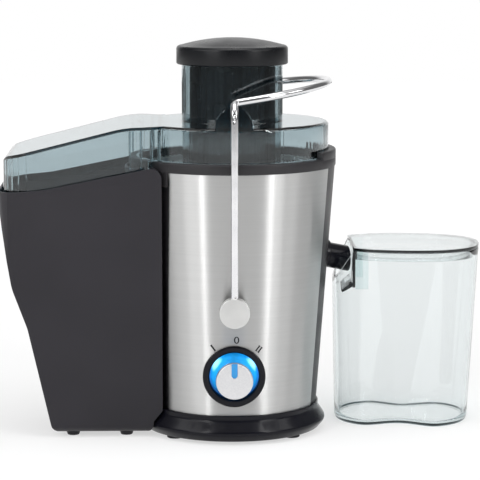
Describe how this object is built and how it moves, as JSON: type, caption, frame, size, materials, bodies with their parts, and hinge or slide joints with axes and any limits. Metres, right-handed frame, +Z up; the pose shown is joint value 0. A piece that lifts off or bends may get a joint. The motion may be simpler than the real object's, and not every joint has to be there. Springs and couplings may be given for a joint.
{
  "type": "centrifugal juicer",
  "caption": "Upright juicer with a tapered motor housing, a clear lid with feed chute and pusher, a swinging locking bail, a side pulp bin and a spout over a clear jug with a lid.",
  "frame": {"origin": "point on the table under the axis of the basket and motor, at the centre of the four feet", "axes": "+Z up, -Y the front with the switch knob, -X towards the pulp bin, +X towards the spout and the jug"},
  "size_m": [0.4191, 0.1966, 0.3403],
  "materials": {
    "gloss_black": "gloss",
    "black_plastic": "satin",
    "brushed_steel": "brushed",
    "blue_light": "lit from within",
    "grey_plastic": "satin",
    "cast_aluminium": "cast",
    "bearing_steel": "ground",
    "lamination": "stacked sheet",
    "copper_wire": "enamelled",
    "carbon": "dull",
    "screw_steel": "zinc plated",
    "circuit_board": "gloss",
    "rubber": "dull",
    "silicone": "satin",
    "smoked_clear": "clear smoky teal",
    "anthracite": "satin",
    "mesh_steel": "perforated",
    "chrome": "polished",
    "satin_chrome": "satin",
    "blue_clear": "clear blue",
    "silver_plastic": "satin silver",
    "jug_clear": "clear"
  },
  "bodies": {
    "base": {"base_plinth": "gloss_black", "foot_1": "rubber", "foot_2": "rubber", "foot_3": "rubber", "foot_4": "rubber", "base_screws": "screw_steel", "housing_shell": "black_plastic", "steel_panel": "brushed_steel", "knob_bezel": "gloss_black", "light_ring": "blue_light", "rotary_switch": "grey_plastic", "lower_bracket": "cast_aluminium", "upper_bracket": "cast_aluminium", "lower_bearing": "bearing_steel", "upper_bearing": "bearing_steel", "stator_core": "lamination", "field_coil_1": "copper_wire", "field_coil_2": "copper_wire", "brush_1": "carbon", "brush_2": "carbon", "motor_mount_1": "rubber", "motor_mount_2": "rubber", "motor_mount_3": "rubber", "motor_mount_4": "rubber", "motor_screws": "screw_steel", "control_board": "circuit_board", "interlock_switch": "grey_plastic", "bail_bush_front": "black_plastic", "bail_bush_rear": "black_plastic", "cord_gland": "rubber", "juice_bowl": "black_plastic", "bowl_seal": "silicone", "spout": "gloss_black", "lid_cover": "smoked_clear", "pulp_bin": "anthracite"},
    "spinner": {"motor_shaft": "bearing_steel", "rotor_core": "lamination", "commutator": "copper_wire", "cooling_fan": "black_plastic", "drive_coupling": "black_plastic", "basket_hub": "grey_plastic", "grater_disc": "brushed_steel", "filter_mesh": "mesh_steel", "basket_rim": "brushed_steel"},
    "bail": {"bail_rod": "chrome", "pivot_disc_front": "satin_chrome", "pivot_disc_rear": "satin_chrome", "pivot_pin_front": "screw_steel", "pivot_pin_rear": "screw_steel", "pin_clip_front": "screw_steel", "pin_clip_rear": "screw_steel"},
    "knob": {"knob_skirt": "blue_clear", "knob_cap": "silver_plastic", "knob_pointer": "blue_clear", "knob_shaft": "bearing_steel"},
    "pusher": {"pusher_sleeve": "black_plastic", "pusher_cap": "black_plastic"},
    "jug": {"jug_body": "jug_clear"},
    "jug_lid": {"jug_lid": "jug_clear"}
  },
  "joints": [
    {"name": "basket_spin", "type": "hinge", "parent": "base", "child": "spinner", "pos_m": [0, 0, 0.03], "axis": [0, 0, 1], "continuous": true},
    {"name": "bail_swing", "type": "hinge", "parent": "base", "child": "bail", "pos_m": [0, 0, 0.1165], "axis": [0, 1, 0], "range_deg": [0, 45]},
    {"name": "knob_turn", "type": "hinge", "parent": "base", "child": "knob", "pos_m": [0, -0.07589, 0.059], "axis": [0, -0.9972, -0.0742], "range_deg": [-40, 40]},
    {"name": "pusher_slide", "type": "slide", "parent": "base", "child": "pusher", "axis": [0, 0, 1], "range_m": [0, 0.125]},
    {"name": "jug_slide", "type": "slide", "parent": "base", "child": "jug", "axis": [1, 0, 0], "range_m": [0, 0.12]},
    {"name": "jug_lid_lift", "type": "slide", "parent": "jug", "child": "jug_lid", "axis": [0, 0, 1], "range_m": [0, 0.007]}
  ]
}
